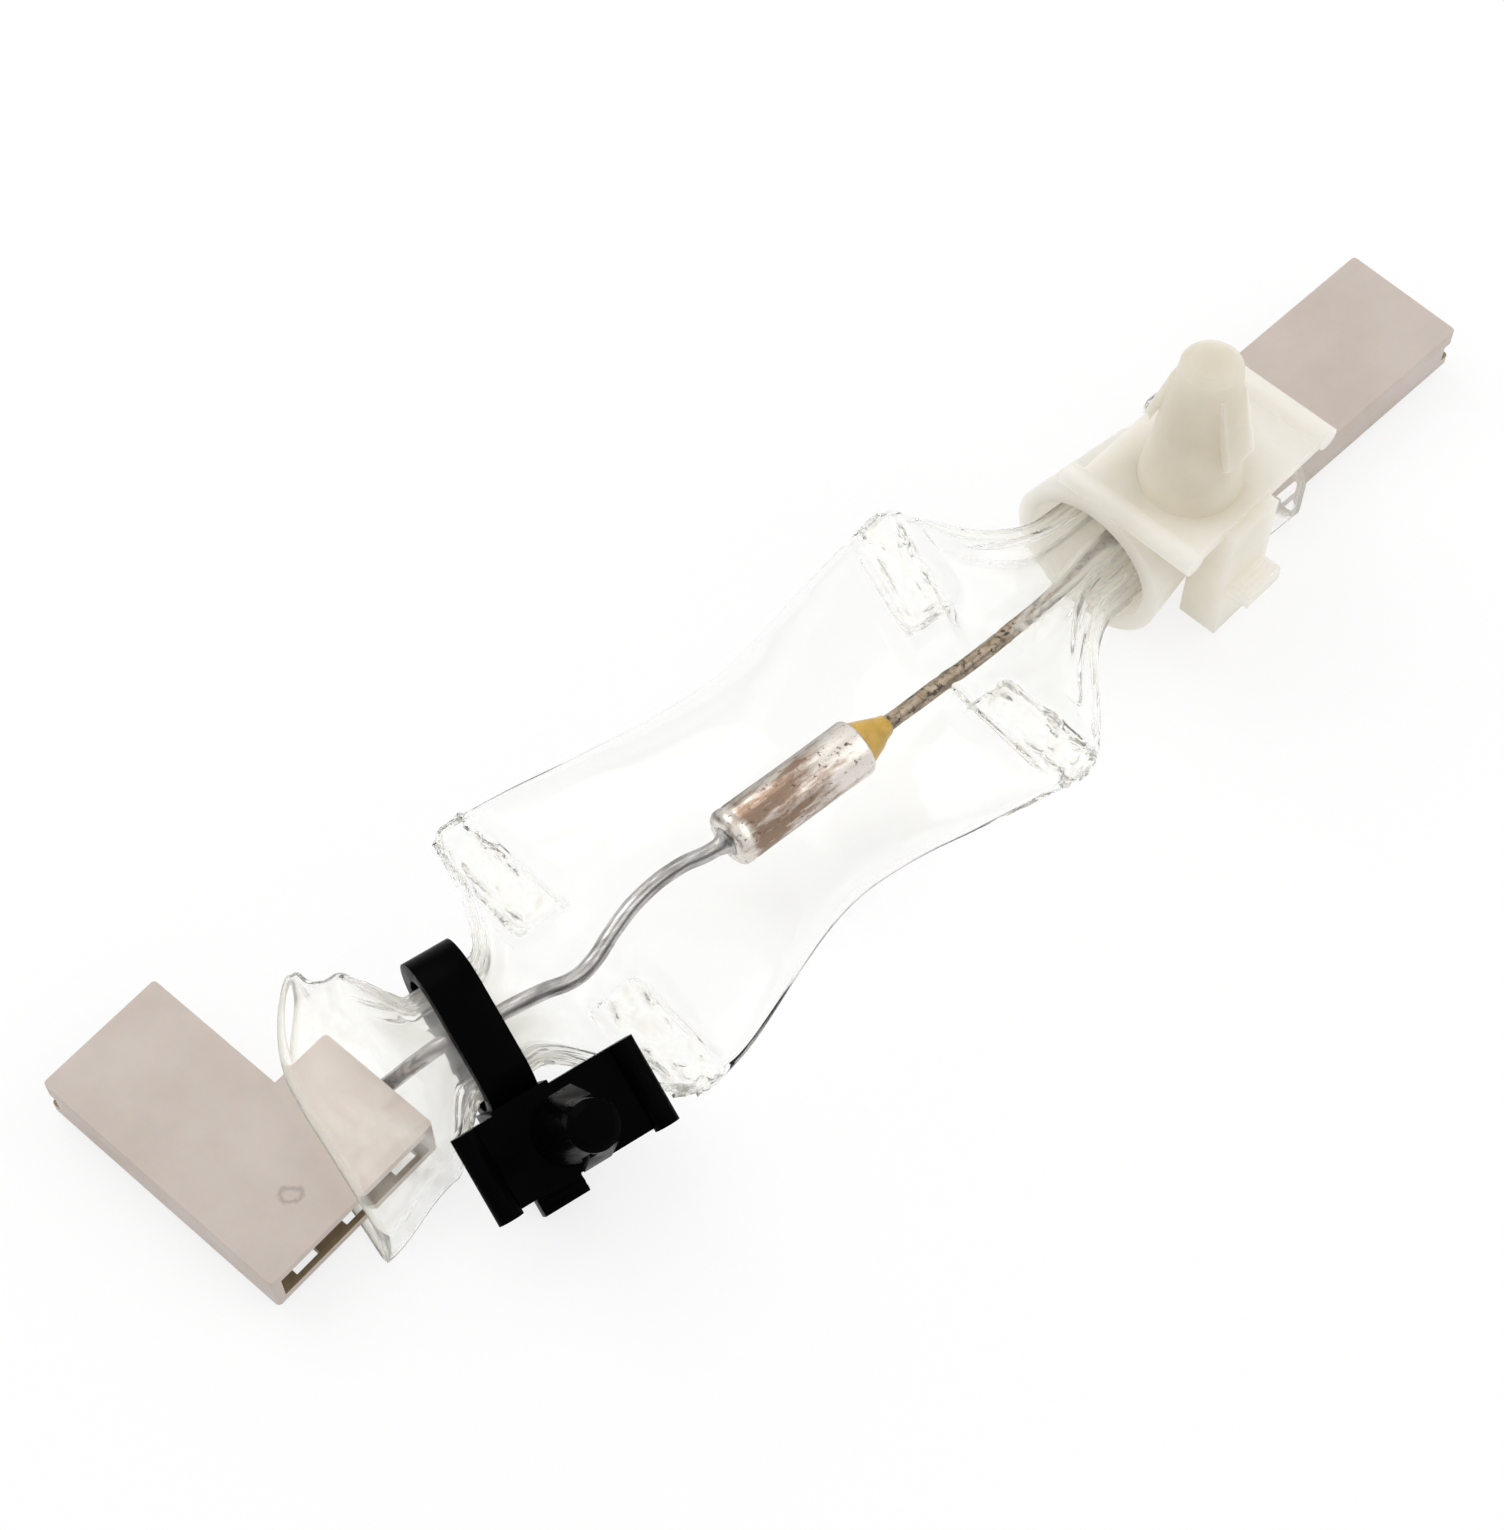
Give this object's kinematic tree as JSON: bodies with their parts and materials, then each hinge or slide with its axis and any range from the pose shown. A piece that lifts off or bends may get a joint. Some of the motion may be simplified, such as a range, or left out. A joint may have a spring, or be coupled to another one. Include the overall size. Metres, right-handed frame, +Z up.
{
  "type": "thermal fuse",
  "caption": "Axial thermal fuse in a clear insulating sleeve, heat-pinched and gathered by push-mount cable ties, with a flag and a straight tab connector on its leads.",
  "frame": {"origin": "middle of the box round the whole part, on the surface it lies on", "axes": "+X along the fuse towards its epoxy end and the straight connector, +Y towards the side where the flag connector's mouth points, +Z up"},
  "size_m": [0.1094, 0.0304, 0.0243],
  "materials": {
    "tin_plate": "tarnished tin plate, unprinted",
    "tinned_lead": "bright tinned wire",
    "tarnished_lead": "tarnished tinned wire",
    "epoxy": "hard yellow resin",
    "bushing_ceramic": "unglazed",
    "pellet": "pressed organic compound",
    "inner_steel": "plain",
    "contact_alloy": "silver-plated",
    "clear_pvc": "clear soft film",
    "housing_nylon": "satin, pinkish white",
    "terminal_brass": "dull",
    "black_nylon": "glossy black",
    "natural_nylon": "undyed, translucent"
  },
  "bodies": {
    "root": {"fuse_case": "tin_plate", "case_lead": "tinned_lead", "isolated_lead": "tarnished_lead", "epoxy_seal": "epoxy", "ceramic_bushing": "bushing_ceramic", "thermal_pellet": "pellet", "pellet_disc": "inner_steel", "main_spring": "inner_steel", "contact_disc": "inner_steel", "star_contact": "contact_alloy", "trip_spring": "inner_steel", "sleeve": "clear_pvc", "flag_housing": "housing_nylon", "straight_housing": "housing_nylon", "flag_terminal": "terminal_brass", "straight_terminal": "terminal_brass", "black_tie": "black_nylon", "natural_tie": "natural_nylon"}
  },
  "joints": []
}
